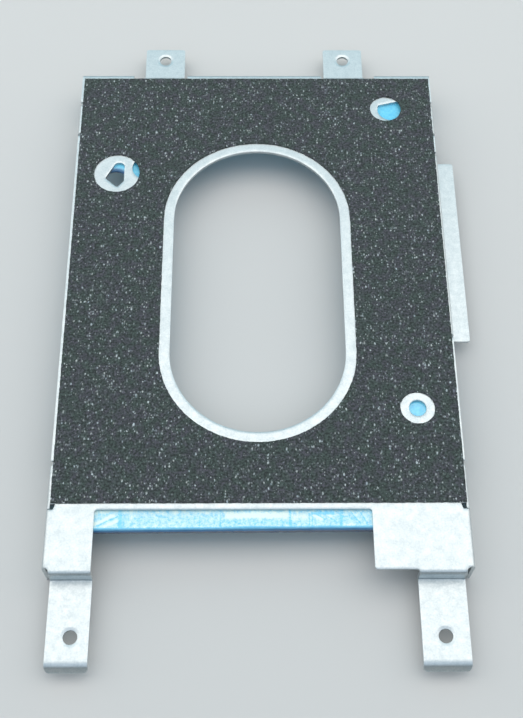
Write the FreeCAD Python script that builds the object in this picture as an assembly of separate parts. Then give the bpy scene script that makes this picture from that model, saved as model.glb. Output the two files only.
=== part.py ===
import FreeCAD, Part
import math
import os

# Tray that holds a 2.5 inch hard drive in a laptop. One steel sheet is cut and folded: a plate with an oval
# window, walls down both sides for the drive's screws, two stepped legs, two stepped tabs and a side flap.
# A foam pad is stuck on the plate's outer face, and an insulating film under it, against the drive's board.
# The tray stands on its walls with the plate on top. Lengths are in millimetres, angles in degrees.

# Drive that the tray holds
DRIVE_WIDTH = 69.85
DRIVE_NOSE = 14.0             # connector end to the near side screw
DRIVE_SCREW_PITCH = 76.6      # near side screw to the far one
DRIVE_TAIL = 9.6              # far side screw to the drive's far end
DRIVE_SCREW_LIFT = 3.0        # side screws above the drive's board face
DRIVE_SCREW_HOLE = 3.2
SIDE_CLEARANCE = 0.225        # drive to each wall
NOSE_CLEARANCE = 2.1          # drive to the legs' steps
TAIL_CLEARANCE = 2.35         # drive to the plate's far edge

# Steel sheet and its bends
SHEET = 0.6
BEND = 0.2                    # inside radius
RELIEF_WIDTH = 0.8            # slot beside a bend
RELIEF_PAST = 0.25            # slot beyond the bend line
RAW_EDGE_INSET = 0.2          # side edges between the walls, inside the walls' outer faces
TRAY_HEIGHT = 6.5             # plate's outer face above the ground
STEP_DROP = 3.0               # legs, tabs and flap below the plate
INNER_FILLET = 0.5            # plate to leg corners

# Oval window
WINDOW_WIDTH = 31.8
WINDOW_LENGTH = 60.65
WINDOW_Y = 44.45              # centre from the plate's near edge

# Screw walls of the drive, each about its own hole
WALL_TO_MIDDLE = 2.6          # from the hole towards the plate's middle
WALL_TO_END = 4.4             # from the hole towards the plate's end
WALL_CORNER = 0.8
CORNER_NOTCH = 1.05           # along the near screw wall's end, up to the leg
CORNER_NOTCH_IN = 1.2         # from the wall's outer face
CORNER_NOTCH_SLANT = 0.35
CORNER_NOTCH_FILLET = 0.25
WALL_SLIT = 0.2               # between the near screw wall and the leg's wall

# Legs: block beside the drive's connector, then a step and a narrower foot with a turned-down lip
LEFT_BLOCK_WIDTH = 8.15
RIGHT_BLOCK_WIDTH = 16.6
RIGHT_SHOULDER = 7.35         # free edge of the right block beside its foot
LEFT_FOOT_INSET = 1.15        # foot's outer edge inside the wall's outer face
RIGHT_FOOT_INSET = 1.4
LEG_WALL_END = 0.4            # leg's wall stops this far before the step's bend
FOOT_FILLET = 0.4
FOOT_CORNER = 0.8
LEG_REACH = 26.25             # lip's tip from the plate's near edge
LIP_BEND = 0.9                # inside radius
LIP_ANGLE = 50.0
LIP_FLAT = 0.9
FOOT_HOLE_IN = 3.95           # from the foot's outer edge
FOOT_HOLE_BACK = 5.5          # from the lip's tip
FIXING_HOLE = 2.4
DISHED_RIM = 0.5              # width of the slope round a fixing hole
DISHED_DROP = 0.12

# Tabs on the far edge
TAB_WIDTH = 8.1
TAB_PITCH = 37.15
TAB_OFFSET = -0.43            # middle of the pair from the plate's centre line
TAB_REACH = 9.7               # tip from the plate's far edge
TAB_HOLE_BACK = 2.9           # from the tip
TAB_CORNER = 0.4
TAB_OUTER_RELIEF = 2.0

# Side flap
FLAP_LENGTH = 40.3
FLAP_Y = 53.75                # centre from the plate's near edge
FLAP_REACH = 3.4              # from the wall's outer face
FLAP_CORNER = 0.5

# Foam pad
FOAM = 0.3
FOAM_LEFT_MARGIN = 0.65       # inside the walls' outer faces
FOAM_RIGHT_MARGIN = 0.5
FOAM_FAR_MARGIN = 0.8
FOAM_NEAR_MARGIN = 1.1
FOAM_WINDOW_MARGIN = 1.92
FOAM_HOLE_A = 8.9
FOAM_HOLE_B = 6.2
FOAM_HOLE_C = 6.1

# Places of the three small holes: from the left or right wall's outer face, and from the near or far edge
HOLE_A_LEFT = 8.4
HOLE_A_NEAR = 69.4
HOLE_B_RIGHT = 9.7
HOLE_B_FAR = 8.6
HOLE_C_RIGHT = 7.65
HOLE_C_NEAR = 18.7

# Holes in the sheet under them: five-sided, round beside it, round with a flat, and plain round
FIVE_SIDED = [
    (1.45, 2.6, 0.9),
    (-0.33, 2.6, 0.9),
    (-2.25, -1.1, 0.3),
    (0.13, -3.25, 0.3),
    (1.45, -1.75, 0.2),
]
SIDE_HOLE = 5.2
SIDE_HOLE_X = 5.55
SIDE_HOLE_Y = 1.4
FLATTED_HOLE = 5.4
FLATTED_HOLE_X = 1.1
FLATTED_HOLE_Y = -0.1
FLAT_FROM_CENTRE = 1.7
FLAT_ANGLE = 14.6
ROUND_HOLE = 3.1

# Insulating film
FILM = 0.15
FILM_SIDE_GAP = 0.8           # from the walls' bends
FILM_FAR_GAP = 0.7            # from the tabs' bends
FILM_NEAR_GAP = 0.8           # from the plate's near edge, beside the tongue
FILM_WINDOW_MARGIN = 1.5
FILM_TUCK = 1.0               # tongue under the leg blocks
TONGUE_FLAT = 3.05            # flat tongue beyond the plate's near edge
TONGUE_CURL = 0.6             # radius of the curl
TONGUE_CURL_ANGLE = 80.0
TONGUE_END = 0.35             # straight end beyond the curl
FILM_HOLE = 5.0
FILM_HOLE_X = -0.4            # from the five-sided hole's centre
FILM_HOLE_Y = -1.3

# Worked out from the sizes above. The plate's outer face is at height 0, the centre line at x = 0 and the
# plate's near edge at y = 0 until the finished pieces are moved to their origin.
OUTER_BEND = BEND + SHEET
HALF_WIDTH = DRIVE_WIDTH / 2 + SIDE_CLEARANCE + SHEET
NEAR_SCREW_Y = CORNER_NOTCH + WALL_TO_END
FAR_SCREW_Y = NEAR_SCREW_Y + DRIVE_SCREW_PITCH
PLATE_LENGTH = FAR_SCREW_Y + DRIVE_TAIL + TAIL_CLEARANCE
LEG_STEP = DRIVE_NOSE - NEAR_SCREW_Y + NOSE_CLEARANCE + SHEET
STEP_BEND_Y = OUTER_BEND - LEG_STEP
SCREW_Z = -(SHEET + FILM + DRIVE_SCREW_LIFT)
FILM_TOP = -SHEET
ORIGIN = FreeCAD.Vector(FLAP_REACH / 2, (PLATE_LENGTH + TAB_REACH - LEG_REACH) / 2, -TRAY_HEIGHT)

UP = FreeCAD.Vector(0, 0, 1)
RIGHT = FreeCAD.Vector(1, 0, 0)
FAR = FreeCAD.Vector(0, 1, 0)
CUT_DEPTH = TRAY_HEIGHT + FOAM


def in_plan(x, y):
    return FreeCAD.Vector(x, y, 0)


def from_the_side(y, z):
    return FreeCAD.Vector(0, y, z)


def unit(vector):
    return vector * (1 / vector.Length)


def face_of(edges):
    return Part.Face(Part.Wire(Part.__sortEdges__(edges)))


def outline(corners, place=in_plan):
    """Face with straight sides between (a, b, radius) corners, each rounded by its radius."""
    spots = [place(a, b) for a, b, radius in corners]
    rounded = []
    for index, spot in enumerate(spots):
        radius = corners[index][2]
        back = unit(spots[index - 1] - spot)
        ahead = unit(spots[(index + 1) % len(spots)] - spot)
        if radius == 0:
            rounded.append((spot, None, spot))
            continue
        half = back.getAngle(ahead) / 2
        cut = radius / math.tan(half)
        middle = spot + unit(back + ahead) * (radius / math.sin(half) - radius)
        rounded.append((spot + back * cut, middle, spot + ahead * cut))
    edges = []
    for index, (start, middle, end) in enumerate(rounded):
        following = rounded[(index + 1) % len(rounded)][0]
        if middle is not None:
            edges.append(Part.Arc(start, middle, end).toShape())
        edges.append(Part.LineSegment(end, following).toShape())
    return face_of(edges)


def rectangle(left, right, near, far):
    return outline([(left, near, 0), (right, near, 0), (right, far, 0), (left, far, 0)])


def oval(width, length, centre_y):
    """Face with two straight sides and two half-round ends."""
    half = width / 2
    straight = length / 2 - half
    corners = [(-half, centre_y - straight), (half, centre_y - straight)]
    corners += [(half, centre_y + straight), (-half, centre_y + straight)]
    a, b, c, d = [in_plan(x, y) for x, y in corners]
    near_end = Part.Arc(a, in_plan(0, centre_y - length / 2), b).toShape()
    far_end = Part.Arc(c, in_plan(0, centre_y + length / 2), d).toShape()
    return face_of([near_end, Part.LineSegment(b, c).toShape(), far_end, Part.LineSegment(d, a).toShape()])


def prism(face, low, high):
    """Upright solid on a plan face."""
    base = face.copy()
    base.translate(UP * low)
    return base.extrude(UP * (high - low))


def through(face):
    """Upright cutter that passes every level of the tray."""
    return prism(face, -CUT_DEPTH, CUT_DEPTH)


def upright_hole(diameter, x, y):
    return Part.makeCylinder(diameter / 2, 2 * CUT_DEPTH, FreeCAD.Vector(x, y, -CUT_DEPTH))


def fixing_hole(x, y):
    """Cutters for a hole at the fixing level whose rim is dished."""
    radius = FIXING_HOLE / 2
    low = FreeCAD.Vector(x, y, -STEP_DROP - DISHED_DROP)
    rim = Part.makeCone(radius, radius + 2 * DISHED_RIM, 2 * DISHED_DROP, low)
    return [upright_hole(FIXING_HOLE, x, y), rim]


def flat(length):
    return ("flat", length, 0)


def fold(angle, inside_radius):
    """A bend; a positive angle turns the strip down."""
    return ("fold", angle, inside_radius)


def folded_strip(steps, gauge, start, out, across):
    """Bent strip: its upper face starts at start and heads along out, and the strip is as wide as across."""
    heading = 0.0
    point = FreeCAD.Vector(0, 0, 0)
    upper = []
    lower = []

    def place(spot):
        return start + out * spot.x + UP * spot.y

    def turned(spot, centre, angle):
        return centre + FreeCAD.Rotation(UP, angle).multVec(spot - centre)

    def line(spot, end):
        return Part.LineSegment(place(spot), place(end)).toShape()

    def arc(spot, centre, angle):
        middle = turned(spot, centre, angle / 2)
        end = turned(spot, centre, angle)
        return Part.Arc(place(spot), place(middle), place(end)).toShape()

    for kind, amount, radius in steps:
        along = FreeCAD.Rotation(UP, heading).multVec(RIGHT)
        below = FreeCAD.Rotation(UP, heading - 90).multVec(RIGHT)
        under = point + below * gauge
        if kind == "flat":
            upper.append(line(point, point + along * amount))
            lower.append(line(under, under + along * amount))
            point = point + along * amount
        else:
            centre = point + below * (radius + gauge) if amount > 0 else point - below * radius
            upper.append(arc(point, centre, -amount))
            lower.append(arc(under, centre, -amount))
            point = turned(point, centre, -amount)
            heading = heading - amount
    below = FreeCAD.Rotation(UP, heading - 90).multVec(RIGHT)
    first_cap = line(FreeCAD.Vector(0, 0, 0), FreeCAD.Vector(0, -gauge, 0))
    last_cap = line(point, point + below * gauge)
    return face_of(upper + lower + [first_cap, last_cap]).extrude(across)


def step_down():
    """Double bend that carries the sheet down to the fixing level."""
    return [fold(90, BEND), flat(STEP_DROP - OUTER_BEND - BEND), fold(-90, BEND)]


def notches(low, high, slot_before, slot_after):
    """Spans (low, high, depth) cut from an edge for one bend: to the bend line, with a slot at each end."""
    before = low - slot_before
    after = high + slot_after
    slot = OUTER_BEND + RELIEF_PAST
    return [(before, after, OUTER_BEND), (before, low, slot), (high, after, slot)]


def screw_wall_spans():
    near = (NEAR_SCREW_Y - WALL_TO_END, NEAR_SCREW_Y + WALL_TO_MIDDLE)
    far = (FAR_SCREW_Y - WALL_TO_MIDDLE, FAR_SCREW_Y + WALL_TO_END)
    return [near, far]


def flap_span():
    return (FLAP_Y - FLAP_LENGTH / 2, FLAP_Y + FLAP_LENGTH / 2)


def tab_centres():
    return [TAB_OFFSET - TAB_PITCH / 2, TAB_OFFSET + TAB_PITCH / 2]


def plate():
    """Flat plate, cut back along its edges for every bend."""
    near, far = screw_wall_spans()
    near_fold = near + (CORNER_NOTCH, RELIEF_WIDTH)
    far_fold = far + (RELIEF_WIDTH, RELIEF_WIDTH)
    flap_fold = flap_span() + (RELIEF_WIDTH, RELIEF_WIDTH)
    cutters = []
    for side, folds in ((-1, [near_fold, far_fold]), (1, [near_fold, flap_fold, far_fold])):
        for span in folds:
            for low, high, depth in notches(*span):
                cutters.append(rectangle(side * (HALF_WIDTH - depth), side * HALF_WIDTH, low, high))
    for centre in tab_centres():
        span = (centre - TAB_WIDTH / 2, centre + TAB_WIDTH / 2)
        slots = (TAB_OUTER_RELIEF, RELIEF_WIDTH) if centre < TAB_OFFSET else (RELIEF_WIDTH, TAB_OUTER_RELIEF)
        for low, high, depth in notches(*span, *slots):
            cutters.append(rectangle(low, high, PLATE_LENGTH - depth, PLATE_LENGTH))
    raw_edge = HALF_WIDTH - RAW_EDGE_INSET
    sheet = prism(rectangle(-raw_edge, raw_edge, 0, PLATE_LENGTH), -SHEET, 0)
    return sheet.cut([through(cutter) for cutter in cutters])


def wall(side, low, high, corner):
    """Wall folded down from a side edge, from low to high along it, with rounded lower corners."""
    start = FreeCAD.Vector(side * (HALF_WIDTH - OUTER_BEND), low, 0)
    steps = [fold(90, BEND), flat(TRAY_HEIGHT - OUTER_BEND)]
    bent = folded_strip(steps, SHEET, start, RIGHT * side, FAR * (high - low))
    corners = [(low, 0, 0), (high, 0, 0), (high, -TRAY_HEIGHT, corner), (low, -TRAY_HEIGHT, corner)]
    shape = outline(corners, from_the_side)
    shape.translate(RIGHT * -HALF_WIDTH)
    return bent.common(shape.extrude(RIGHT * 2 * HALF_WIDTH))


def near_screw_wall(side):
    """Wall that reaches past the plate's corner notch, almost to the leg's wall."""
    high = screw_wall_spans()[0][1]
    return wall(side, WALL_SLIT, high, WALL_CORNER)


def corner_notch(side):
    """Cutter for the notch inside that wall, beside the leg."""
    outer = HALF_WIDTH - SHEET
    inner = HALF_WIDTH - CORNER_NOTCH_IN
    slanted = inner - CORNER_NOTCH_SLANT
    corners = [(outer, 0, 0), (inner, 0, CORNER_NOTCH_FILLET)]
    corners += [(slanted, CORNER_NOTCH, 0), (outer, CORNER_NOTCH, 0)]
    return through(outline([(side * x, y, radius) for x, y, radius in corners]))


def leg(side, block_width, shoulder, foot_inset):
    """Block level with the plate, a step down, and a foot whose tip is turned down."""
    block_inner = HALF_WIDTH - block_width
    foot_outer = HALF_WIDTH - foot_inset
    foot_inner = block_inner + shoulder
    wall_end = STEP_BEND_Y + LEG_WALL_END
    lip_angle = math.radians(LIP_ANGLE)
    lip_run = (LIP_BEND + SHEET) * math.sin(lip_angle) + LIP_FLAT * math.cos(lip_angle)
    steps = [flat(-STEP_BEND_Y)] + step_down() + [flat(LEG_REACH - LEG_STEP - BEND - lip_run)]
    steps += [fold(LIP_ANGLE, LIP_BEND), flat(LIP_FLAT)]
    bend_line = HALF_WIDTH - OUTER_BEND
    root = block_inner - 2 * INNER_FILLET
    start = FreeCAD.Vector(side * root, 0, 0)
    bent = folded_strip(steps, SHEET, start, -FAR, RIGHT * side * (bend_line - root))
    lap = SHEET
    shape = [(bend_line, lap, 0), (root, lap, 0), (root, 0, 0), (block_inner, 0, INNER_FILLET)]
    if shoulder > 0:
        shape += [(block_inner, STEP_BEND_Y, INNER_FILLET), (foot_inner, STEP_BEND_Y, FOOT_FILLET)]
    shape += [(foot_inner, -LEG_REACH, FOOT_CORNER), (foot_outer, -LEG_REACH, FOOT_CORNER)]
    shape += [(foot_outer, STEP_BEND_Y, 0), (bend_line, wall_end, 0)]
    blank = through(outline([(side * x, y, radius) for x, y, radius in shape]))
    hole_x = side * (foot_outer - FOOT_HOLE_IN)
    hole = fixing_hole(hole_x, FOOT_HOLE_BACK - LEG_REACH)
    return [bent.common(blank).cut(hole), wall(side, wall_end, 0, 0)]


def tab(centre):
    """Tab stepped down from the far edge, with one fixing hole."""
    left = centre - TAB_WIDTH / 2
    right = centre + TAB_WIDTH / 2
    tip = PLATE_LENGTH + TAB_REACH
    start = FreeCAD.Vector(left, PLATE_LENGTH - OUTER_BEND, 0)
    steps = step_down() + [flat(TAB_REACH - BEND)]
    bent = folded_strip(steps, SHEET, start, FAR, RIGHT * TAB_WIDTH)
    root = PLATE_LENGTH - OUTER_BEND
    corners = [(left, root, 0), (right, root, 0), (right, tip, TAB_CORNER), (left, tip, TAB_CORNER)]
    return bent.common(through(outline(corners))).cut(fixing_hole(centre, tip - TAB_HOLE_BACK))


def flap():
    """Ledge stepped out from the right edge."""
    low, high = flap_span()
    root = HALF_WIDTH - OUTER_BEND
    tip = HALF_WIDTH + FLAP_REACH
    steps = step_down() + [flat(FLAP_REACH - BEND)]
    bent = folded_strip(steps, SHEET, FreeCAD.Vector(root, low, 0), RIGHT, FAR * (high - low))
    corners = [(root, low, 0), (tip, low, FLAP_CORNER), (tip, high, FLAP_CORNER), (root, high, 0)]
    return bent.common(through(outline(corners)))


def hole_places():
    """Centres of the three small holes that the pad and the sheet share."""
    hole_a = (HOLE_A_LEFT - HALF_WIDTH, HOLE_A_NEAR)
    hole_b = (HALF_WIDTH - HOLE_B_RIGHT, PLATE_LENGTH - HOLE_B_FAR)
    hole_c = (HALF_WIDTH - HOLE_C_RIGHT, HOLE_C_NEAR)
    return hole_a, hole_b, hole_c


def flatted_hole(x, y):
    """Round cutter with a flat across its far side."""
    hole = upright_hole(FLATTED_HOLE, x, y)
    keep = Part.makeBox(FLATTED_HOLE, FLATTED_HOLE, 2 * CUT_DEPTH)
    keep.translate(FreeCAD.Vector(-FLATTED_HOLE / 2, FLAT_FROM_CENTRE - FLATTED_HOLE, -CUT_DEPTH))
    keep.rotate(FreeCAD.Vector(0, 0, 0), UP, FLAT_ANGLE)
    keep.translate(in_plan(x, y))
    return hole.common(keep)


def sheet_holes():
    """Cutters for the window, the small holes, the corner notches and the drive's screws."""
    (a_x, a_y), (b_x, b_y), (c_x, c_y) = hole_places()
    cutters = [through(oval(WINDOW_WIDTH, WINDOW_LENGTH, WINDOW_Y))]
    cutters += [corner_notch(-1), corner_notch(1)]
    cutters.append(through(outline([(a_x + x, a_y + y, radius) for x, y, radius in FIVE_SIDED])))
    cutters.append(upright_hole(SIDE_HOLE, a_x + SIDE_HOLE_X, a_y + SIDE_HOLE_Y))
    cutters.append(flatted_hole(b_x + FLATTED_HOLE_X, b_y + FLATTED_HOLE_Y))
    cutters.append(upright_hole(ROUND_HOLE, c_x, c_y))
    for y in (NEAR_SCREW_Y, FAR_SCREW_Y):
        start = FreeCAD.Vector(-HALF_WIDTH - SHEET, y, SCREW_Z)
        cutters.append(Part.makeCylinder(DRIVE_SCREW_HOLE / 2, 2 * (HALF_WIDTH + SHEET), start, RIGHT))
    return cutters


def steel_tray():
    """The whole folded sheet as one solid."""
    pieces = [flap()]
    far_low, far_high = screw_wall_spans()[1]
    for side in (-1, 1):
        pieces += [near_screw_wall(side), wall(side, far_low, far_high, WALL_CORNER)]
    pieces += leg(-1, LEFT_BLOCK_WIDTH, 0, LEFT_FOOT_INSET)
    pieces += leg(1, RIGHT_BLOCK_WIDTH, RIGHT_SHOULDER, RIGHT_FOOT_INSET)
    pieces += [tab(centre) for centre in tab_centres()]
    return plate().fuse(pieces).cut(sheet_holes()).removeSplitter()


def foam_pad():
    """Thin pad on the plate's outer face, open round the window and over the small holes."""
    left = FOAM_LEFT_MARGIN - HALF_WIDTH
    right = HALF_WIDTH - FOAM_RIGHT_MARGIN
    far = PLATE_LENGTH - FOAM_FAR_MARGIN
    pad = prism(rectangle(left, right, FOAM_NEAR_MARGIN, far), 0, FOAM)
    margin = 2 * FOAM_WINDOW_MARGIN
    cutters = [through(oval(WINDOW_WIDTH + margin, WINDOW_LENGTH + margin, WINDOW_Y))]
    for diameter, place in zip((FOAM_HOLE_A, FOAM_HOLE_B, FOAM_HOLE_C), hole_places()):
        cutters.append(upright_hole(diameter, place[0], place[1]))
    return pad.cut(cutters)


def insulating_film():
    """Film under the plate, with a tongue between the legs that curls down at its tip."""
    side = HALF_WIDTH - OUTER_BEND - FILM_SIDE_GAP
    far = PLATE_LENGTH - OUTER_BEND - FILM_FAR_GAP
    tongue_left = LEFT_BLOCK_WIDTH - HALF_WIDTH - FILM_TUCK
    tongue_right = HALF_WIDTH - RIGHT_BLOCK_WIDTH + FILM_TUCK
    body = prism(rectangle(-side, side, FILM_NEAR_GAP, far), FILM_TOP - FILM, FILM_TOP)
    steps = [flat(FILM_NEAR_GAP + TONGUE_FLAT), fold(TONGUE_CURL_ANGLE, TONGUE_CURL - FILM), flat(TONGUE_END)]
    start = FreeCAD.Vector(tongue_left, FILM_NEAR_GAP, FILM_TOP)
    tongue = folded_strip(steps, FILM, start, -FAR, RIGHT * (tongue_right - tongue_left))
    margin = 2 * FILM_WINDOW_MARGIN
    (a_x, a_y), hole_b, hole_c = hole_places()
    cutters = [through(oval(WINDOW_WIDTH + margin, WINDOW_LENGTH + margin, WINDOW_Y))]
    cutters.append(upright_hole(FILM_HOLE, a_x + FILM_HOLE_X, a_y + FILM_HOLE_Y))
    return body.fuse(tongue).cut(cutters).removeSplitter()


os.makedirs("parts", exist_ok=True)
nodes = {
    "steel_tray": steel_tray(),
    "foam_pad": foam_pad(),
    "insulating_film": insulating_film(),
}
for node, shape in nodes.items():
    shape.translate(-ORIGIN)
    box = shape.BoundBox
    print(node, "valid", shape.isValid(), "solids", len(shape.Solids), "volume", round(shape.Volume, 2))
    print("  from", [round(v, 3) for v in (box.XMin, box.YMin, box.ZMin)])
    print("  to", [round(v, 3) for v in (box.XMax, box.YMax, box.ZMax)])
    shape.exportStep("parts/" + node + ".step")
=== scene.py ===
# %% [markdown]
# # Dressing a laptop hard drive caddy
# The caddy is one folded sheet of galvanised steel that carries a 2.5 inch drive. A thin foam pad is stuck
# on its outer face, and a blue insulating film is stuck under it, where the drive's circuit board comes. The
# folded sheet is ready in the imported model. This lesson cuts the pad and the film as fine meshes, gives the
# three pieces their finishes, and photographs the caddy in a small studio.

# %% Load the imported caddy
import math

import bmesh
import bpy
import numpy as np
from mathutils import Matrix, Vector, kdtree, noise
from mathutils.geometry import delaunay_2d_cdt


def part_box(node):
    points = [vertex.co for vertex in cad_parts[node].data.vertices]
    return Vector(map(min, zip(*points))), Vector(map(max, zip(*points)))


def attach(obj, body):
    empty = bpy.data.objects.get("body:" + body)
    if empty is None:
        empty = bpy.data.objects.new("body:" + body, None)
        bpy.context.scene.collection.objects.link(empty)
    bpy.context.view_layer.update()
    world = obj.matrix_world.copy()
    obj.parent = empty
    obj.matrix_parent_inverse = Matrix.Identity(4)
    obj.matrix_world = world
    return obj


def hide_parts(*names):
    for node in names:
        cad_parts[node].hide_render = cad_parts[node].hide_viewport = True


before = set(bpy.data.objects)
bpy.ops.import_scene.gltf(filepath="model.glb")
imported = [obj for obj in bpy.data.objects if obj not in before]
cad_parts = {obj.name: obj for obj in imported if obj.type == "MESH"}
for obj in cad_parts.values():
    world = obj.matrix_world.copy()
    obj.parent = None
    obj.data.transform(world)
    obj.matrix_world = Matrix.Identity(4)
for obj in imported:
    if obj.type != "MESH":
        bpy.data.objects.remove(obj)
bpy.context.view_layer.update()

MM = 0.001

# %% [markdown]
# ## Outlines of the die-cut pieces
# Pad and film are punched from a roll by a steel rule, so each is an outline and a thickness. The outlines
# could be typed in again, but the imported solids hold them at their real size, so they are read from the
# solids' flat tops. A side of the outline is an edge that only one triangle of the flat top has. Joined end
# to end, the sides make closed loops: the largest is the outer rim, and the others are holes.

# %% Find the sides of the flat tops
TOUCHING = 0.001 * MM
DIGITS = 3


def flat_sides(node, height):
    """Sides round a node's flat face at that height, from each corner (x, y) in millimetres to the next."""
    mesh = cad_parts[node].data
    spots = [(round(v.co.x / MM, DIGITS), round(v.co.y / MM, DIGITS)) for v in mesh.vertices]
    sides = {}
    for face in mesh.polygons:
        if all(abs(mesh.vertices[i].co.z - height) < TOUCHING for i in face.vertices):
            ring = [spots[i] for i in face.vertices]
            for a, b in zip(ring, ring[1:] + ring[:1]):
                sides.setdefault(frozenset((a, b)), []).append((a, b))
    return dict(pair[0] for pair in sides.values() if len(pair) == 1)


pad_low, pad_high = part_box("foam_pad")
film_low, film_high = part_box("insulating_film")
pad_edges = flat_sides("foam_pad", pad_high.z)
film_edges = flat_sides("insulating_film", film_high.z)
print("the pad's top has", len(pad_edges), "sides, and the film's has", len(film_edges))


# %% Join the sides into loops
def loop_area(loop):
    """Signed area of a closed loop, positive where the loop runs anticlockwise."""
    x, y = loop.T
    return float(np.sum(x * np.roll(y, -1) - y * np.roll(x, -1)) / 2)


def joined_loops(following):
    """Closed loops made of sides, the largest one first."""
    loops = []
    while following:
        start, spot = following.popitem()
        loop = [start]
        while spot != start:
            loop.append(spot)
            spot = following.pop(spot)
        loops.append(np.array(loop))
    return sorted(loops, key=lambda loop: -abs(loop_area(loop)))


pad_outlines = joined_loops(pad_edges)
film_outlines = joined_loops(film_edges)
for title, loops in (("pad", pad_outlines), ("film", film_outlines)):
    print(title, "loops with areas in mm2", [round(loop_area(loop), 1) for loop in loops])

# %% [markdown]
# ## Foam pad
# The pad is a thin charcoal foam with fine open cells. A flat slab with a bump map would have a knife-sharp
# straight rim, so the mesh is fine enough to carry the cells itself: the top is pitted, and the rim is a
# little ragged and rounded where the rule pressed through. All of it stays under the solid's flat top, so
# the pad keeps its size. The rims come first. They get points at even steps, and a small noise pushes each
# point about. The third number that goes to the noise picks another slice of it, so no two effects agree.

# %% Roughen the pad's rims
FOAM_STEP = 0.33
RAGGED = 0.07
RAGGED_GRAIN = 0.55
RAGGED_SLICES = (3.3, 8.7)


def spaced(loop, step):
    """The loop with points about step apart, its corners kept."""
    points = []
    for a, b in zip(loop, np.roll(loop, -1, axis=0)):
        count = max(1, round(np.linalg.norm(b - a) / step))
        points += [a + (b - a) * k / count for k in range(count)]
    return np.array(points)


def wobble(x, y, grain, noise_slice):
    """Smooth noise from -1 to 1 whose lumps are about grain millimetres wide."""
    return noise.noise(Vector((x / grain, y / grain, noise_slice)))


def ragged(loop):
    """The loop with its points pushed about."""
    pushes = [[wobble(x, y, RAGGED_GRAIN, part) * RAGGED for part in RAGGED_SLICES] for x, y in loop]
    return loop + np.array(pushes)


foam_loops = [ragged(spaced(loop, FOAM_STEP)) for loop in pad_outlines]
print("the pad's rims have", [len(loop) for loop in foam_loops], "points")

# %% [markdown]
# A grid with holes cut by Booleans leaves steps or slivers along round edges. A Delaunay triangulation takes
# any points and any outline, so the rim follows the outline exactly, and the inside is as fine as the piece
# needs. The points lie on a triangular grid, each moved a little, because a regular grid would show as a
# pattern in the highlights. Points too near to a rim are dropped, since they would make slivers there.


# %% Tell the inside from the outside
def inside(points, loops):
    """Which points lie in the outer loop and out of the holes: a line to the right crosses an odd number."""
    crossings = np.zeros(len(points), int)
    x, y = points.T
    for loop in loops:
        for (ax, ay), (bx, by) in zip(loop, np.roll(loop, -1, axis=0)):
            if ay != by:
                beyond = x < ax + (y - ay) * (bx - ax) / (by - ay)
                crossings += ((ay > y) != (by > y)) & beyond
    return crossings % 2 == 1


hole_middles = np.array([loop.mean(axis=0) for loop in pad_outlines[1:]])
print("middles of the pad's holes that lie inside it:", int(inside(hole_middles, foam_loops).sum()))

# %% Spread points over the pad
ROW_SHARE = math.sqrt(3) / 2
JITTER = 0.22
RIM_CLEARANCE = 0.6


def clear_of_rims(points, loops, distance):
    """Those points that are further than the distance from every point of the loops."""
    rim = np.vstack(loops)
    tree = kdtree.KDTree(len(rim))
    for index, (x, y) in enumerate(rim):
        tree.insert((x, y, 0), index)
    tree.balance()
    return points[[tree.find((x, y, 0))[2] > distance for x, y in points]]


def filling(loops, step, seed, wanted=None):
    """Points on a slightly disordered triangular grid inside the loops, where they are wanted."""
    low = loops[0].min(axis=0)
    high = loops[0].max(axis=0)
    x, y = np.meshgrid(np.arange(low[0], high[0], step), np.arange(low[1], high[1], step * ROW_SHARE))
    x[1::2] += step / 2
    points = np.column_stack((x.ravel(), y.ravel()))
    points += np.random.default_rng(seed).uniform(-JITTER, JITTER, points.shape) * step
    if wanted is not None:
        points = points[wanted(points)]
    return clear_of_rims(points[inside(points, loops)], loops, RIM_CLEARANCE * step)


foam_fillers = filling(foam_loops, FOAM_STEP, seed=1)
print("the pad's top has", len(foam_fillers), "points inside its rims")

# %% [markdown]
# Blender's own triangulation takes the points and the rim's sides. It fills everything out to the convex
# hull, so the triangles in the holes are dropped afterwards, and each one left is turned to face up. The
# pad's base is glued down flat, so it needs no points but those of the rims.

# %% Join the points into triangles
WHOLE_HULL = 0
MERGE_DISTANCE = 1e-7
NO_FILLERS = np.empty((0, 2))


def triangulated(loops, fillers):
    """Points, anticlockwise triangles and rim sides of the loops' inside. The rim's points come first."""
    sides = []
    for loop in loops:
        first = len(sides)
        sides += [(first + k, first + (k + 1) % len(loop)) for k in range(len(loop))]
    points = np.vstack((*loops, fillers))
    spots = [Vector(point) for point in points]
    _, _, faces, origins, _, _ = delaunay_2d_cdt(spots, sides, [], WHOLE_HULL, MERGE_DISTANCE)
    triangles = np.array([[origins[i][0] for i in face] for face in faces])
    triangles = triangles[inside(points[triangles].mean(axis=1), loops)]
    a, b, c = (points[triangles[:, k]] for k in range(3))
    turn = (b[:, 0] - a[:, 0]) * (c[:, 1] - a[:, 1]) - (b[:, 1] - a[:, 1]) * (c[:, 0] - a[:, 0])
    triangles[turn < 0] = triangles[turn < 0][:, ::-1]
    return points, triangles, sides


foam_points, foam_triangles, foam_sides = triangulated(foam_loops, foam_fillers)
foam_rim, foam_base, _ = triangulated(foam_loops, NO_FILLERS)
print("the pad's top has", len(foam_triangles), "triangles, and its base has", len(foam_base))

# %% [markdown]
# Now the top is pitted. One noise with small lumps makes the cells, and one with wide lumps makes the pad
# sag a little here and there. The rim is pressed lower, and a wall joins it to the base. The piece rides on
# the caddy and stands for the plain solid.

# %% Pit the pad's top
CELL_DEPTH = 0.055
CELL_GRAIN = 0.42
CELL_SLICE = 0.0
SAG_DEPTH = 0.02
SAG_GRAIN = 6.0
SAG_SLICE = 5.0
RIM_DROP = 0.07


def lumps(x, y, grain, noise_slice):
    """The same noise from 0 to 1."""
    return 0.5 + 0.5 * wobble(x, y, grain, noise_slice)


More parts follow.
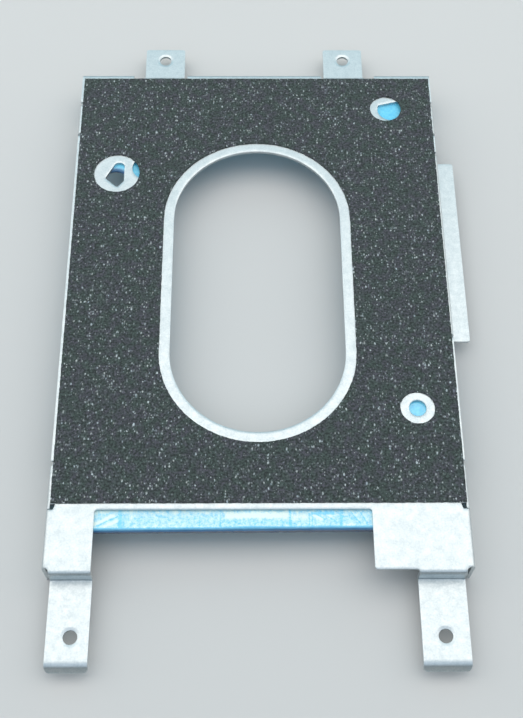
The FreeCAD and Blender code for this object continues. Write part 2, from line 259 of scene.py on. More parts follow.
def foam_depth(x, y):
    """How far the pad's surface lies under its highest points."""
    return CELL_DEPTH * lumps(x, y, CELL_GRAIN, CELL_SLICE) + SAG_DEPTH * lumps(x, y, SAG_GRAIN, SAG_SLICE)


foam_tops = np.array([pad_high.z / MM - foam_depth(x, y) for x, y in foam_points])
foam_tops[:len(foam_rim)] -= RIM_DROP
foam_upper = np.column_stack((foam_points, foam_tops))
foam_lower = np.column_stack((foam_rim, np.full(len(foam_rim), pad_low.z / MM)))
print("the pad's top varies in height by", round(float(np.ptp(foam_tops)), 3), "mm")

# %% Close the pad
FOAM_SHARP = math.radians(60)


def closed_piece(name, upper, upper_triangles, lower, lower_triangles, sides, sharp_angle):
    """Object made of an upper and a lower surface in millimetres and a wall round their shared rim."""
    count = len(upper)
    faces = [tuple(triangle) for triangle in upper_triangles.tolist()]
    faces += [(c + count, b + count, a + count) for a, b, c in lower_triangles.tolist()]
    faces += [(a + count, b + count, b, a) for a, b in sides]
    mesh = bpy.data.meshes.new(name)
    mesh.from_pydata((np.vstack((upper, lower)) * MM).tolist(), [], faces)
    mesh.shade_smooth()
    mesh.set_sharp_from_angle(angle=sharp_angle)
    piece = bpy.data.objects.new(name, mesh)
    bpy.context.scene.collection.objects.link(piece)
    print(name, "has", len(mesh.vertices), "points and", len(mesh.polygons), "faces")
    return piece


foam = closed_piece(
    "foam_pad_cells", foam_upper, foam_triangles, foam_lower, foam_base, foam_sides, FOAM_SHARP)
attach(foam, "root")
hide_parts("foam_pad")

# %% [markdown]
# ## Insulating film
# The film is a stiff glossy plastic sheet. Under the plate the glue holds it flat, apart from faint ripples.
# Between the legs it is free: it is crinkled there, and its tip curls down. Round the hole near the left
# side its rim is rolled down too. A cloth simulation would have to be steered into these few creases, so the
# sheet is laid out flat and then bent by a formula: each point goes round the curl by its distance from the
# fold line. First come the measures of the tongue, the curl and the hole, in millimetres.

# %% Measure the tongue, the curl and the hole
CURL_RADIUS = 0.6
CURL_ANGLE = math.radians(82)
ROLL_RADIUS = 0.9
ROLL_ANGLE = math.radians(75)
FILM_TUCK = 1.0

film_outer, film_window, film_hole = film_outlines
tip_y, shoulder_y = np.unique(film_outer[:, 1])[:2]
tongue_tip = film_outer[:, 1] == tip_y
tongue_left, tongue_right = np.sort(film_outer[tongue_tip, 0])
open_left = tongue_left + FILM_TUCK
open_width = tongue_right - tongue_left - 2 * FILM_TUCK
curl_arc = CURL_RADIUS * CURL_ANGLE
curl_drop = film_high.z / MM - film_low.z / MM - CURL_RADIUS * (1 - math.cos(CURL_ANGLE))
curl_length = curl_arc + curl_drop / math.sin(CURL_ANGLE)
fold_y = film_low.y / MM + CURL_RADIUS * math.sin(CURL_ANGLE) + curl_drop / math.tan(CURL_ANGLE)
hole_centre = film_hole.mean(axis=0)
hole_radius = np.linalg.norm(film_hole - hole_centre, axis=1).max()
roll_reach = ROLL_RADIUS * math.sin(ROLL_ANGLE)
tongue_width = float(tongue_right - tongue_left)
print("tongue", round(tongue_width, 2), "mm wide, curl", round(curl_length, 2), "mm long")
print("hole", round(2 * float(hole_radius), 2), "mm wide, its rim rolled over", round(roll_reach, 2), "mm")

# %% [markdown]
# The flat cut is longer than the bent one looks, so the tongue's tip moves out by the length of the curl.
# The sheet gets large triangles where it lies flat, and fine ones on the tongue and round the rolled hole.

# %% Lay the film out flat
FILM_STEP = 1.1
CRINKLE_STEP = 0.13
FILM_RIM_STEP = 0.4


def is_crinkled(points):
    """Points on the tongue or near the rolled hole, where the mesh is fine."""
    near_hole = np.linalg.norm(points - hole_centre, axis=1) < hole_radius + 2 * roll_reach
    return (points[:, 1] < shoulder_y + FILM_STEP) | near_hole


flat_outer = film_outer.copy()
flat_outer[tongue_tip, 1] = fold_y - curl_length
film_loops = [spaced(loop, FILM_RIM_STEP) for loop in (flat_outer, film_window, film_hole)]
coarse = filling(film_loops, FILM_STEP, seed=2, wanted=lambda points: ~is_crinkled(points))
fine = filling(film_loops, CRINKLE_STEP, seed=3, wanted=is_crinkled)
film_points, film_triangles, film_sides = triangulated(film_loops, np.vstack((coarse, fine)))
print("the film has", len(coarse), "points where it is flat and", len(fine), "where it is crinkled")

# %% [markdown]
# The curl starts at a line that was bent: towards the right it comes nearer to the plate. Past that
# line a point goes round an arc, and past the arc straight on. The hole's rim is an arc too, but it runs all
# round, so there the distance to the hole's centre tells how far a point has gone down.

# %% Curl the tongue
FOLD_SLANT = 0.3


def held(value):
    """The value, kept between 0 and 1."""
    return min(1.0, max(0.0, value))


def open_share(x):
    """0 at the left end of the tongue's open stretch, 1 at its right end."""
    return (x - open_left) / open_width


def fold_line(x):
    """Where the curl starts, with a gentle slant from left to right."""
    share = held(open_share(x))
    return fold_y + FOLD_SLANT * share * share * (3 - 2 * share)


def curled(x, y):
    """Where a point of the flat cut comes to lie, from the sheet's upper face, and which way it looks."""
    fold = fold_line(x)
    past_fold = max(0.0, fold - y)
    angle = min(past_fold, curl_arc) / CURL_RADIUS
    straight = max(0.0, past_fold - curl_arc)
    out = CURL_RADIUS * math.sin(angle) + straight * math.cos(angle)
    down = CURL_RADIUS * (1 - math.cos(angle)) + straight * math.sin(angle)
    return np.array([x, max(y, fold) - out, -down]), np.array([0.0, -math.sin(angle), math.cos(angle)])


for share in (0.0, 0.5, 1.0):
    fold = fold_line(open_left + share * open_width)
    print("at", share, "of the tongue's width the curl starts at y", round(float(fold), 2), "mm")


# %% Roll the hole's rim
def rolled(x, y, place, outward):
    """The same near the hole, where the rim goes down into it."""
    from_hole = np.array([x, y]) - hole_centre
    into_roll = hole_radius + roll_reach - np.linalg.norm(from_hole)
    if into_roll <= 0:
        return place, outward
    tilt = math.asin(min(into_roll / ROLL_RADIUS, math.sin(ROLL_ANGLE)))
    inward = -from_hole / np.linalg.norm(from_hole)
    down = ROLL_RADIUS * (1 - math.cos(tilt))
    return place - np.array([0.0, 0.0, down]), np.array([*(inward * math.sin(tilt)), math.cos(tilt)])


rim_place, _ = rolled(*film_hole[0], *curled(*film_hole[0]))
print("the hole's rim goes down by", round(float(-rim_place[2]), 2), "mm")

# %% [markdown]
# Creases cross the tongue, and the plastic between two of them swells up or down a little. Smaller crinkles
# have sharp ridges: a noise folded over at its middle gives those. Under the plate only slow ripples stay.
# Both faces of the sheet are made from the same point, a thickness apart.

# %% Swell the tongue between its creases
CREASES = (0.0, 0.093, 0.453, 0.706, 0.784, 0.892, 1.0)
CREASE_RISE = (0.10, -0.06, 0.16, -0.08, 0.09, -0.07)


def crease_height(x):
    """Height of the shallow swellings between the tongue's creases."""
    share = open_share(x)
    for start, end, rise in zip(CREASES, CREASES[1:], CREASE_RISE):
        if start <= share <= end:
            return rise * math.sin(math.pi * (share - start) / (end - start)) ** 2
    return 0.0


heights = [crease_height(x) for x, _ in film_points]
print("the tongue swells from", round(min(heights), 2), "to", round(max(heights), 2), "mm")

# %% Crinkle and close the film
FILM_THICKNESS = 0.15
FILM_SHARP = math.radians(50)
FREE_REACH = 1.2
RIPPLE = 0.035
RIPPLE_GRAIN = 7.0
RIPPLE_SLICE = 9.0
CRINKLE = 0.05
CRINKLE_GRAIN = 1.5
CRINKLE_SLICE = 2.0
CRINKLE_SLANT = 0.4
FINE_CRINKLE = 0.012
FINE_GRAIN = 0.5
FINE_SLICE = 6.0


def bent_film(x, y):
    """Upper and lower point of the film over a point of its flat cut."""
    place, outward = rolled(x, y, *curled(x, y))
    free = held((shoulder_y - y) / FREE_REACH)
    crinkle = CRINKLE * (1 - 2 * abs(wobble(x + CRINKLE_SLANT * y, y, CRINKLE_GRAIN, CRINKLE_SLICE)))
    crinkle += FINE_CRINKLE * wobble(x, y, FINE_GRAIN, FINE_SLICE) + crease_height(x) * max(0.0, outward[2])
    ripple = -RIPPLE * lumps(x, y, RIPPLE_GRAIN, RIPPLE_SLICE)
    upper = place + outward * (free * crinkle + (1 - free) * ripple)
    return upper, upper - outward * FILM_THICKNESS


film_pairs = np.array([bent_film(x, y) for x, y in film_points])
film_pairs[:, :, 2] += film_high.z / MM
film = closed_piece(
    "insulating_film_sheet", film_pairs[:, 0], film_triangles, film_pairs[:, 1], film_triangles, film_sides,
    FILM_SHARP)
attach(film, "root")
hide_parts("insulating_film")

# %% [markdown]
# Plastic that has been stretched goes pale, so the tongue has white marks where it was pulled and clear blue
# ones along the creases. The white marks are also painted highlights: they stand in for the glints and for
# the lamp's reflection on the swellings, and near the plate's edge they paint light over the shade. They
# follow the bends, so they are put on the mesh as a number for each point: every mark is a stroke of a soft
# brush from one place to another. A second number says how far a point is round a bend. The material turns
# the first into colour and the second into painted shade later. In a stroke's row, the first four numbers are
# its start and its end, each as a share of the tongue's width and a distance in millimetres out from the
# plate. The last two are the brush's width in millimetres and its strength, below 0 where the film stays
# clear.

# %% Mark where the film has gone pale or gets painted highlights
# The ground is whitened plastic and painted sheen over the whole tongue; the strokes add painted highlights,
# and painted light at the plate's edge.
PALE_AND_SHEEN_GROUND = 0.44
CLEAR = -1.0
PLATE_OVERHANG = 0.8
MARKS_REACH = 0.3
PALE_AND_HIGHLIGHT_STROKES = (
    (0.003, 2.4, 0.067, 0.95, 0.28, 0.8),
    (0.04, 2.8, 0.081, 1.85, 0.3, 0.8),
    (0.004, 2.85, 0.082, 1.1, 0.12, -0.5),
    (0.093, 0.0, 0.093, 3.2, 0.36, -0.6),
    (0.135, 1.0, 0.13, 1.9, 0.2, 0.35),
    (0.14, 2.8, 0.33, 2.85, 0.25, 0.15),
    (0.379, 1.0, 0.379, 3.2, 0.1, -0.25),
    (0.453, 0.0, 0.453, 3.2, 0.12, -0.45),
    (0.0, 0.15, 0.45, 0.15, 0.3, 0.2),
    (0.45, 0.25, 0.57, 0.1, 0.22, 0.1),
    (0.57, 0.1, 0.79, 0.3, 0.24, 0.1),
    (0.48, 0.95, 0.69, 0.95, 0.5, 0.9),
    (0.47, 2.1, 0.69, 2.1, 0.35, -0.2),
    (0.704, 0.0, 0.704, 3.2, 0.22, -0.6),
    (0.715, 1.1, 0.765, 1.1, 0.38, 0.6),
    (0.773, 0.6, 0.773, 3.2, 0.1, -0.5),
    (0.784, 0.4, 0.784, 3.2, 0.1, -0.5),
    (0.79, 0.95, 0.815, 1.6, 0.28, 0.8),
    (0.785, 0.5, 0.86, 0.6, 0.24, -0.8),
    (0.798, 0.75, 0.83, 1.65, 0.1, -0.6),
    (0.835, 0.8, 0.862, 1.4, 0.12, 0.5),
    (0.842, 1.25, 0.872, 2.2, 0.1, -0.5),
    (0.888, 0.0, 0.888, 3.2, 0.3, -0.55),
    (0.9, 2.6, 0.93, 2.6, 0.35, 0.5),
    (0.923, 0.2, 0.939, 1.3, 0.09, -0.55),
    (0.939, 1.3, 0.957, 2.4, 0.09, -0.45),
    (0.957, 0.4, 0.972, 1.5, 0.09, -0.65),
    (0.972, 1.5, 0.983, 2.7, 0.09, -0.55),
    (0.86, 0.15, 1.0, 0.15, 0.25, 0.1),
)
plate_edge_y = shoulder_y - PLATE_OVERHANG


def stroke_spot(share, out):
    """Point of the flat cut at a share of the open width and a distance out from the plate's edge."""
    return Vector((open_left + share * open_width, plate_edge_y - out))


def pale_and_highlight_share(x, y):
    """How pale the film is at a point of its flat cut, whitened plastic and painted highlight together, from
    below 0 for clear to above 1 for white.
    """
    if y > plate_edge_y + MARKS_REACH or y < fold_line(x):
        return CLEAR
    pale = PALE_AND_SHEEN_GROUND
    here = Vector((x, y))
    for start_share, start_out, end_share, end_out, width, strength in PALE_AND_HIGHLIGHT_STROKES:
        start = stroke_spot(start_share, start_out)
        run = stroke_spot(end_share, end_out) - start
        along = held((here - start).dot(run) / run.length_squared)
        away = (here - start - along * run).length / width
        pale += strength * math.exp(-away * away)
    return pale


def mark_film(name, share_at):
    """Puts a number on every point of the film, the same on both faces."""
    values = [share_at(x, y) for x, y in film_points]
    marks = film.data.attributes.new(name, "FLOAT", "POINT")
    marks.data.foreach_set("value", values + values)
    print(name, "is above 0 on", sum(value > 0 for value in values), "points of the film's upper face")


mark_film("pale", pale_and_highlight_share)


# %% Mark where the film is bent
def bent_share(x, y):
    """How far a point is round the curl or down the rolled rim, from 0 to 1."""
    into_roll = hole_radius + roll_reach - math.dist((x, y), hole_centre)
    return held(max((fold_line(x) - y) / curl_arc, into_roll / roll_reach))


# The material paints shade on the curl and on the rolled rim from this number.
mark_film("bent", bent_share)

# %% [markdown]
# ## Shared effects
# Every finish here needs a tone that varies slowly over the piece, with a finer grain in it. The foam also
# needs small flecks of different brightness. Each effect is built once as a node group with its own inputs,
# and is then placed in the materials with different values. The groups put out only masks, and the shaders
# stay in the materials. Small helpers add a node in one line, because node code is long without them.

# %% Start a group for an uneven tone
NUMBER = "NodeSocketFloat"


def new_group(name, inputs, outputs):
    """Node group with a Vector input, number inputs and number outputs, and its two end nodes."""
    group = bpy.data.node_groups.new(name, "ShaderNodeTree")
    group.interface.new_socket("Vector", in_out="INPUT", socket_type="NodeSocketVector")
    for socket, value in inputs.items():
        group.interface.new_socket(socket, in_out="INPUT", socket_type=NUMBER).default_value = value
    for socket in outputs:
        group.interface.new_socket(socket, in_out="OUTPUT", socket_type=NUMBER)
    return group, group.nodes.new("NodeGroupInput"), group.nodes.new("NodeGroupOutput")


uneven_tone, source, sink = new_group(
    "uneven_tone", {"Patch Scale": 100, "Grain Scale": 2000}, ("Patches", "Grain"))
print("group", uneven_tone.name, "has the sockets", [item.name for item in uneven_tone.interface.items_tree])

# %% Fill it with a coarse and a fine noise
TONE_NOISES = (("Patches", "Patch Scale", 3.0), ("Grain", "Grain Scale", 2.0))


def fill_inputs(tree, node, inputs):
    """Sets a node's inputs by name or place: a socket is linked, and anything else is a value."""
    for name, value in inputs.items():
        if isinstance(value, bpy.types.NodeSocket):
            tree.links.new(value, node.inputs[name])
        else:
            node.inputs[name].default_value = value


def add_node(tree, kind, inputs, **settings):
    """New node with its settings and its inputs."""
    made = tree.nodes.new(kind)
    for name, value in settings.items():
        setattr(made, name, value)
    fill_inputs(tree, made, inputs)
    return made


for mask, scale, detail in TONE_NOISES:
    cloud = add_node(uneven_tone, "ShaderNodeTexNoise", {
        "Vector": source.outputs["Vector"], "Scale": source.outputs[scale], "Detail": detail})
    fill_inputs(uneven_tone, sink, {mask: cloud.outputs["Fac"]})
print("group", uneven_tone.name, "has", len(uneven_tone.nodes), "nodes")

# %% [markdown]
# The flecks are cells of a Voronoi texture. Round dots in even cells would look printed, so a noise of the
# same scale first shakes the coordinates by a part of a cell. Every cell has a random colour, which is three
# free random numbers: red to a high power makes most flecks dim and a few bright, green makes some smaller,
# and blue goes out as a hue, so that the material can tint them differently.

# %% Start a group for flecks and shake its coordinates
DRIFT_DETAIL = 1.0
MID_GREY = (0.5, 0.5, 0.5)


def number_of(tree, operation, first, second, **settings):
    """Number socket worked out from two numbers or sockets."""
    made = add_node(tree, "ShaderNodeMath", {0: first, 1: second}, operation=operation, **settings)
    return made.outputs["Value"]


def vector_of(tree, operation, inputs):
    """Vector socket worked out from vectors or numbers."""
    return add_node(tree, "ShaderNodeVectorMath", inputs, operation=operation).outputs["Vector"]


flecks, source, sink = new_group(
    "flecks", {"Scale": 2000, "Size": 0.4, "Rarity": 3.0, "Warp": 0.8}, ("Fleck", "Hue"))
vector = source.outputs["Vector"]
scale = source.outputs["Scale"]
drift = add_node(flecks, "ShaderNodeTexNoise", {"Vector": vector, "Scale": scale, "Detail": DRIFT_DETAIL})
centred = vector_of(flecks, "SUBTRACT", {0: drift.outputs["Color"], 1: MID_GREY})
cell_share = number_of(flecks, "DIVIDE", source.outputs["Warp"], scale)
shift = vector_of(flecks, "SCALE", {0: centred, "Scale": cell_share})
warped = vector_of(flecks, "ADD", {0: vector, 1: shift})
print("group", flecks.name, "has the sockets", [item.name for item in flecks.interface.items_tree])

# %% Turn the cells into flecks
cells = add_node(flecks, "ShaderNodeTexVoronoi", {"Vector": warped, "Scale": scale, "Randomness": 1.0})
chance = add_node(flecks, "ShaderNodeSeparateColor", {"Color": cells.outputs["Color"]})
reach = number_of(flecks, "MULTIPLY", chance.outputs["Green"], source.outputs["Size"])
dot = add_node(flecks, "ShaderNodeMapRange", {
    "Value": cells.outputs["Distance"], "From Min": 0.0, "From Max": reach, "To Min": 1.0, "To Max": 0.0},
    interpolation_type="SMOOTHSTEP")
bright = number_of(flecks, "POWER", chance.outputs["Red"], source.outputs["Rarity"])
fleck = number_of(flecks, "MULTIPLY", dot.outputs["Result"], bright)
fill_inputs(flecks, sink, {"Fleck": fleck, "Hue": chance.outputs["Blue"]})
print("group", flecks.name, "has", len(flecks.nodes), "nodes")

# %% [markdown]
# ## Galvanised steel
# Zinc on thin sheet freezes in crystals too small to count, so the surface is a satin pale grey with a faint
# cloud and a fine grain. Patches and grain of the shared tone are added up, and their sum is one mask for
# both the colour and the gloss, because on the real sheet the brighter crystals are the smoother ones.

# %% Start the steel with a zinc cloud
FULL = (0.0, 1.0)
ZINC_SCALES = {"Patch Scale": 850, "Grain Scale": 3200}
ZINC_SPREAD = (0.7, 1.3)


def material_start(name):
    """Empty material with a Principled shader, its tree, and coordinates in metres from the origin."""
    made = bpy.data.materials.new(name)
    made.use_nodes = True
    tree = made.node_tree
    tree.nodes.clear()
    shader = tree.nodes.new("ShaderNodeBsdfPrincipled")
    add_node(tree, "ShaderNodeOutputMaterial", {"Surface": shader.outputs["BSDF"]})
    coordinates = tree.nodes.new("ShaderNodeTexCoord").outputs["Object"]
    return made, tree, shader, coordinates


def place_group(tree, group, vector, values):
    """The group's outputs, placed in a material with its own values."""
    return add_node(tree, "ShaderNodeGroup", {"Vector": vector, **values}, node_tree=group).outputs


def ranged(tree, value, spread, result=FULL):
    """Number socket that carries one range of values to another."""
    made = add_node(tree, "ShaderNodeMapRange", {
        "Value": value,
        "From Min": spread[0], "From Max": spread[1],
        "To Min": result[0], "To Max": result[1]})
    return made.outputs["Result"]


steel, tree, shader, spot_on_caddy = material_start("galvanised_sheet")
tone = place_group(tree, uneven_tone, spot_on_caddy, ZINC_SCALES)
zinc = ranged(tree, number_of(tree, "ADD", tone["Patches"], tone["Grain"]), ZINC_SPREAD)
print(steel.name, "starts with", len(tree.nodes), "nodes")

# %% [markdown]
# A punch draws the sheet down a little along the rim that it shears, and so a punched rim catches a thin
# line of light. Rounding the mesh would change the solid, so the finish does it: the Bevel node finds the
# rims, and a share of its bent normal gives the shallow roll. The tabs and feet show less of it, as if they
# were sheared from the other side. The height over the floor tells them from the plate.

# %% Roll the punched rims
ROLL_WIDTH = 0.9 * MM
ROLL_SAMPLES = 8
ROLL_LEVELS = (5.7 * MM, 6.2 * MM)
ROLL_SHARES = (0.1, 0.55)

bevel = add_node(tree, "ShaderNodeBevel", {"Radius": ROLL_WIDTH}, samples=ROLL_SAMPLES)
unrolled = add_node(tree, "ShaderNodeNewGeometry", {})
level = add_node(tree, "ShaderNodeSeparateXYZ", {"Vector": spot_on_caddy})
roll = ranged(tree, level.outputs["Z"], ROLL_LEVELS, ROLL_SHARES)
partly_rolled = add_node(tree, "ShaderNodeMix", {
    "Factor": roll, "A": unrolled.outputs["Normal"], "B": bevel.outputs["Normal"]}, data_type="VECTOR")
rim_normal = vector_of(tree, "NORMALIZE", {0: partly_rolled.outputs["Result"]})
low_share, plate_share = ROLL_SHARES
print("low rims get", low_share, "of a full roll, and the plate's rims get", plate_share)

# %% [markdown]
# Zinc is a bare metal, so Metallic is 1 and the base colour is what it reflects. The grain also lifts the
# surface by a hundredth of a millimetre, which breaks up the reflections as on the real sheet. The finish
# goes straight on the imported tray, whose shape is right as it is.

# %% Put the steel together
STEEL_DULL = (0.53, 0.59, 0.61)
STEEL_BRIGHT = (0.655, 0.70, 0.71)
STEEL_ROUGHNESS = (0.46, 0.36)
ZINC_BUMP = {"Strength": 0.35, "Distance": 0.01 * MM}


def blended(tree, mask, first, second):
    """Colour socket that goes from the first colour to the second with the mask."""
    ends = [end if isinstance(end, bpy.types.NodeSocket) else (*end, 1.0) for end in (first, second)]
    mix = add_node(tree, "ShaderNodeMix", {"Factor": mask, "A": ends[0], "B": ends[1]}, data_type="RGBA")
    return mix.outputs["Result"]


bump = add_node(tree, "ShaderNodeBump", {**ZINC_BUMP, "Height": tone["Grain"], "Normal": rim_normal})
fill_inputs(tree, shader, {
    "Base Color": blended(tree, zinc, STEEL_DULL, STEEL_BRIGHT),
    "Metallic": 1.0,
    "Roughness": ranged(tree, zinc, FULL, STEEL_ROUGHNESS),
    "Normal": bump.outputs["Normal"],
})
tray_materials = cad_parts["steel_tray"].data.materials
tray_materials.clear()
tray_materials.append(steel)
print("steel tray wears", tray_materials[0].name)

# %% [markdown]
# ## Foam
# Charcoal foam looks speckled because the thin walls of its open cells shine at odd angles. Those glints are
# painted into the colour as highlights, and the flecks group gives them twice: a dense fine layer, and a
# sparse coarser one with the brightest points. The fine layer is stronger in some places than in others. In
# the photograph the flecks look longer along the pad, so the coordinates of the painted glints are stretched
# that way.

# %% Lay two layers of painted glints over the foam
FOAM_SCALES = {"Patch Scale": 550, "Grain Scale": 2500}
CROWD_SCALES = {"Patch Scale": 220, "Grain Scale": 700}
CROWD_SPREAD = (0.3, 0.7)
CROWD_SHARES = (0.45, 1.2)
GLINT_STRETCH = (1.0, 0.68, 1.0)
FINE_GLINT_FLECKS = {"Scale": 2900, "Size": 0.8, "Rarity": 3.3}
BRIGHT_GLINT_FLECKS = {"Scale": 1850, "Size": 0.55, "Rarity": 7.0}

foam_finish, tree, shader, spot_on_caddy = material_start("charcoal_foam")
tone = place_group(tree, uneven_tone, spot_on_caddy, FOAM_SCALES)
crowds = place_group(tree, uneven_tone, spot_on_caddy, CROWD_SCALES)
crowded = ranged(tree, crowds["Patches"], CROWD_SPREAD, CROWD_SHARES)
glints_stretched = vector_of(tree, "MULTIPLY", {0: spot_on_caddy, 1: GLINT_STRETCH})
# Both layers are painted glints: bright spots in the base colour for light shining off the cell walls.
fine_glint_layer = place_group(tree, flecks, glints_stretched, FINE_GLINT_FLECKS)
bright_glint_layer = place_group(tree, flecks, glints_stretched, BRIGHT_GLINT_FLECKS)
fine_glint_mask = number_of(tree, "MULTIPLY", fine_glint_layer["Fleck"], crowded)
print(foam_finish.name, "starts with", len(tree.nodes), "nodes")

# %% [markdown]
# The painted glints are some cool and some neutral. The ground between them is a dark grey whose cast wanders
# from green to violet, with darker pits in its grain. The foam is quite rough, and a fleck is smoother than
# the ground, since it is a bit of cell wall that happens to lie flat.

# %% Colour the foam
FOAM_DARK = (0.023, 0.030, 0.029)
FOAM_GREEN = (0.058, 0.082, 0.074)
FOAM_VIOLET = (0.073, 0.075, 0.092)
# Colours of the painted glints, cool and neutral.
PAINTED_GLINT_COOL = (0.50, 0.62, 0.70)
PAINTED_GLINT_NEUTRAL = (0.64, 0.68, 0.65)
CAST_SPREAD = (0.4, 0.6)
PIT_SPREAD = (0.38, 0.62)
FOAM_ROUGHNESS = (0.85, 0.45)
FOAM_BUMP = {"Strength": 0.6, "Distance": 0.06 * MM}

cast = blended(tree, ranged(tree, tone["Patches"], CAST_SPREAD), FOAM_GREEN, FOAM_VIOLET)
ground = blended(tree, ranged(tree, tone["Grain"], PIT_SPREAD), FOAM_DARK, cast)
painted_glint_colour = blended(tree, fine_glint_layer["Hue"], PAINTED_GLINT_COOL, PAINTED_GLINT_NEUTRAL)
ground_and_fine_glints = blended(tree, fine_glint_mask, ground, painted_glint_colour)
bump = add_node(tree, "ShaderNodeBump", {**FOAM_BUMP, "Height": tone["Grain"]})
fill_inputs(tree, shader, {
    "Base Color": blended(tree, bright_glint_layer["Fleck"], ground_and_fine_glints, painted_glint_colour),
    "Roughness": ranged(tree, fine_glint_layer["Fleck"], FULL, FOAM_ROUGHNESS),
    "Specular IOR Level": 0.3,
    "Normal": bump.outputs["Normal"],
})
foam.data.materials.append(foam_finish)
print("foam pad wears", foam_finish.name)

# %% [markdown]
# ## Blue film
# The film is coloured right through. The marks on its tongue, partly whitened plastic and partly painted
# highlights, come from the mesh through an Attribute node, and the patches and the grain of the shared tone
# break them up into frost and painted glints. The curl and the rolled rim get painted shade: darker round the
# bend, partly because the light comes through more plastic there, and darkest where the sheet has turned away
# from the light.

# %% Mix the film's marks
FILM_SCALES = {"Patch Scale": 1500, "Grain Scale": 3400}
FILM_SPREAD = (0.3, 0.7)
CLOUD_SHARES = (-0.3, 0.3)
FROST_SHARES = (-0.22, 0.22)
CURL_SHADE_SPREAD = (0.0, 0.6)
TURNED_AWAY_SHADE_SPREAD = (0.75, 1.0)

film_finish, tree, shader, spot_on_caddy = material_start("blue_film")
tone = place_group(tree, uneven_tone, spot_on_caddy, FILM_SCALES)
pale = add_node(tree, "ShaderNodeAttribute", {}, attribute_name="pale").outputs["Fac"]
bent = add_node(tree, "ShaderNodeAttribute", {}, attribute_name="bent").outputs["Fac"]
# Whitened plastic and painted highlights, broken up by the tone into frost and painted glints.
cloudy_pale_and_highlights = number_of(tree, "ADD", pale, ranged(tree, tone["Patches"], FILM_SPREAD, CLOUD_SHARES))
frost_and_glints = ranged(tree, tone["Grain"], FILM_SPREAD, FROST_SHARES)
whitened_and_highlights = number_of(tree, "ADD", cloudy_pale_and_highlights, frost_and_glints, use_clamp=True)
# Painted shade round the curl and the rolled rim, darkest where the sheet turns away from the light.
painted_curl_shade = ranged(tree, bent, CURL_SHADE_SPREAD)
painted_turned_away_shade = ranged(tree, bent, TURNED_AWAY_SHADE_SPREAD)
print(film_finish.name, "starts with", len(tree.nodes), "nodes")

# %% [markdown]
# The film is very glossy, and a second reflection comes from its back. So the specular level is high, and a
# coat lies on top. Both are the same all over, and are set on the shader itself.

# %% Colour the film
FILM_BLUE = (0.17, 0.66, 0.87)
FILM_DEEP = (0.11, 0.56, 0.84)
# Painted shade of the curl, and the darker painted shade where it turns away from the light.
FILM_CURL_SHADE = (0.045, 0.17, 0.35)
FILM_TURNED_AWAY_SHADE = (0.02, 0.06, 0.13)
# White of stretched plastic and of painted highlights.
FILM_WHITE_AND_HIGHLIGHT = (0.70, 0.86, 0.81)
BLUE_SPREAD = (0.35, 0.65)
FILM_ROUGHNESS = (0.12, 0.26)
FILM_BUMP = {"Strength": 0.5, "Distance": 0.02 * MM}

plain_blue = blended(tree, ranged(tree, tone["Patches"], BLUE_SPREAD), FILM_DEEP, FILM_BLUE)
marked_and_highlit_blue = blended(tree, whitened_and_highlights, plain_blue, FILM_WHITE_AND_HIGHLIGHT)
curl_blue_with_shade = blended(tree, painted_turned_away_shade, FILM_CURL_SHADE, FILM_TURNED_AWAY_SHADE)
bump = add_node(tree, "ShaderNodeBump", {**FILM_BUMP, "Height": tone["Patches"]})
fill_inputs(tree, shader, {
    "Base Color": blended(tree, painted_curl_shade, marked_and_highlit_blue, curl_blue_with_shade),
    "Roughness": ranged(tree, tone["Grain"], FILM_SPREAD, FILM_ROUGHNESS),
    "Specular IOR Level": 0.9,
    "Coat Weight": 0.6,
    "Coat Roughness": 0.08,
    "Normal": bump.outputs["Normal"],
})
film.data.materials.append(film_finish)
print("film wears", film_finish.name)

# %% [markdown]
# ## Studio
# The caddy stands on its walls on a plain pale floor. A flat floor would end in a hard line behind the caddy
# in low views, so the floor is swept up all round, as photographers do with a roll of paper. Its section is
# a straight line and a quarter of a circle, and it is spun round the upright axis like a pot on a wheel.

# %% Sweep the floor
FLOOR_RADIUS = 0.95
SWEEP_RADIUS = 0.7
SWEEP_STEPS = 16
FLOOR_SECTORS = 96
SAME_SPOT = 0.1 * MM

section = [(0.0, 0.0, 0.0)]
for step in range(SWEEP_STEPS + 1):
    turn = math.pi / 2 * step / SWEEP_STEPS
    section.append((FLOOR_RADIUS + SWEEP_RADIUS * math.sin(turn), 0.0, SWEEP_RADIUS * (1 - math.cos(turn))))
swept = bmesh.new()
corners = [swept.verts.new(spot) for spot in section]
lines = [swept.edges.new(pair) for pair in zip(corners, corners[1:])]
bmesh.ops.spin(swept, geom=corners + lines, axis=(0, 0, 1), cent=(0, 0, 0), angle=2 * math.pi,
               steps=FLOOR_SECTORS, use_merge=True)
bmesh.ops.remove_doubles(swept, verts=swept.verts, dist=SAME_SPOT)
floor_mesh = bpy.data.meshes.new("floor")
swept.to_mesh(floor_mesh)
swept.free()
floor_mesh.shade_smooth()
floor = bpy.data.objects.new("floor", floor_mesh)
bpy.context.scene.collection.objects.link(floor)
print("floor has", len(floor_mesh.polygons), "faces and is", round(floor.dimensions.x, 2), "m wide")

# %% [markdown]
# The floor is matt paper. Even paper isn't one tone all over, so the shared tone varies it by a few percent.

# %% Finish the floor
FLOOR_COLOUR = (0.58, 0.58, 0.57)
FLOOR_TONES = (0.98, 1.02)
FLOOR_SCALES = {"Patch Scale": 12, "Grain Scale": 700}

floor_finish, tree, shader, spot_on_floor = material_start("pale_floor")
tone = place_group(tree, uneven_tone, spot_on_floor, FLOOR_SCALES)
darker, lighter = ([share * part for part in FLOOR_COLOUR] for share in FLOOR_TONES)
fill_inputs(tree, shader, {
    "Base Color": blended(tree, tone["Patches"], darker, lighter),
    "Roughness": 0.85,
    "Specular IOR Level": 0.2,
})
floor.data.materials.append(floor_finish)
print("floor wears", floor_finish.name)

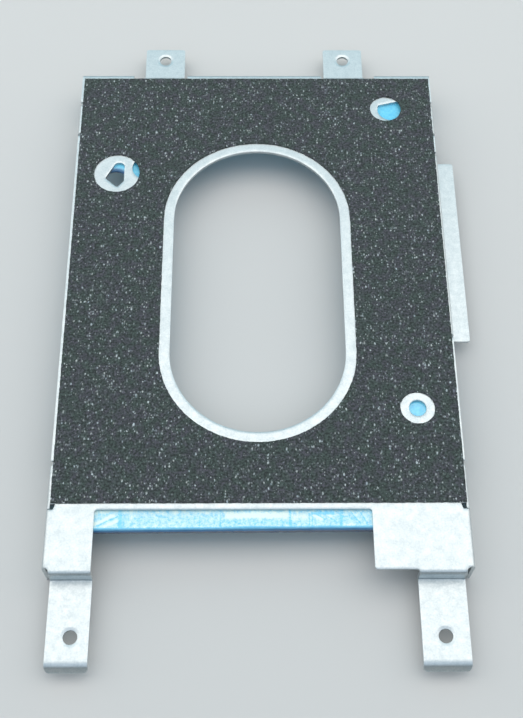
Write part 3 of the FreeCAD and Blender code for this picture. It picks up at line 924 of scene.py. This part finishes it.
# %% [markdown]
# A metal shows what it mirrors, so each lamp has a job. One broad soft lamp hangs above, and the flat steel
# nearest the camera mirrors it. The far tabs mirror a cooler, dimmer lamp behind. A bluish lamp in front
# shows in the bends of the legs, and two lamps at the sides draw a line of light along the folded edges.
# A row gives a lamp's place in metres, its tilts about X and Y in degrees, its width and depth, how bright
# its surface is, and its colour. An area lamp's power is that brightness times pi times its area.

# %% Hang the lamps
NEUTRAL = (1.0, 0.985, 0.965)
COOL = (0.58, 0.88, 1.0)
LILAC = (0.72, 0.85, 1.0)
SOFTBOXES = {
    "top_lamp": ((0.0, 0.16, 0.55), (0, 0), (1.4, 0.52), 1.64, NEUTRAL),
    "far_lamp": ((0.0, 0.80, 0.48), (-59, 0), (1.8, 0.6), 0.9, COOL),
    "front_lamp": ((0.0, -0.392, 0.584), (41, 0), (1.5, 0.66), 0.78, LILAC),
    "left_lamp": ((-0.85, 0.35, 0.33), (0, -68), (0.55, 1.1), 1.4, NEUTRAL),
    "right_lamp": ((0.85, 0.35, 0.33), (0, 68), (0.55, 1.1), 1.4, NEUTRAL),
}

for name, (place, tilts, (width, depth), brightness, colour) in SOFTBOXES.items():
    lamp = bpy.data.lights.new(name, "AREA")
    lamp.shape = "RECTANGLE"
    lamp.size = width
    lamp.size_y = depth
    lamp.energy = brightness * math.pi * width * depth
    lamp.color = colour
    holder = bpy.data.objects.new(name, lamp)
    holder.location = place
    holder.rotation_euler = (math.radians(tilts[0]), math.radians(tilts[1]), 0.0)
    bpy.context.scene.collection.objects.link(holder)
    print(name, "gives", round(lamp.energy, 2), "W")

# %% [markdown]
# The room itself adds a little even light, so that no shadow goes black. The Standard view shows a colour
# about as it is written: the level is plain, and a grey card on the floor would come out as grey as it is.

# %% Light the room
ROOM_COLOUR = (0.84, 0.95, 1.0)
ROOM_STRENGTH = 0.2

room = bpy.data.worlds.new("room")
bpy.context.scene.world = room
room.use_nodes = True
background = room.node_tree.nodes["Background"]
background.inputs["Color"].default_value = (*ROOM_COLOUR, 1.0)
background.inputs["Strength"].default_value = ROOM_STRENGTH
bpy.context.scene.view_settings.view_transform = "Standard"
print("room light", ROOM_STRENGTH, "seen through the view", bpy.context.scene.view_settings.view_transform)

# %% [markdown]
# ## Camera
# The camera stands where the photograph was taken from: high above the legs, looking down steeply. Its place
# and angles were worked out once from the plate's known sizes. The lens follows from the focal length in
# pixels and the picture's height, because Blender measures the sensor along the longer side.

# %% Place the camera
PICTURE_HEIGHT = 718
FOCAL_PIXELS = 1160.4
SENSOR = 36.0
NEAREST = 10 * MM
CAMERA_PLACE = (-3.087 * MM, -106.408 * MM, 191.301 * MM)
LOOK_DOWN = 1.09097
TURN = -0.02143
ROLL = 0.01731

camera_data = bpy.data.cameras.new("camera")
camera_data.sensor_width = SENSOR
camera_data.lens = FOCAL_PIXELS / PICTURE_HEIGHT * SENSOR
camera_data.clip_start = NEAREST
camera = bpy.data.objects.new("camera", camera_data)
bpy.context.scene.collection.objects.link(camera)
facing = Matrix.Rotation(TURN, 4, "Z") @ Matrix.Rotation(math.pi / 2 - LOOK_DOWN, 4, "X")
camera.matrix_world = Matrix.Translation(CAMERA_PLACE) @ facing @ Matrix.Rotation(ROLL, 4, "Z")
bpy.context.scene.camera = camera
print("lens", round(camera_data.lens, 2), "mm, looking down by", round(math.degrees(LOOK_DOWN), 1), "degrees")
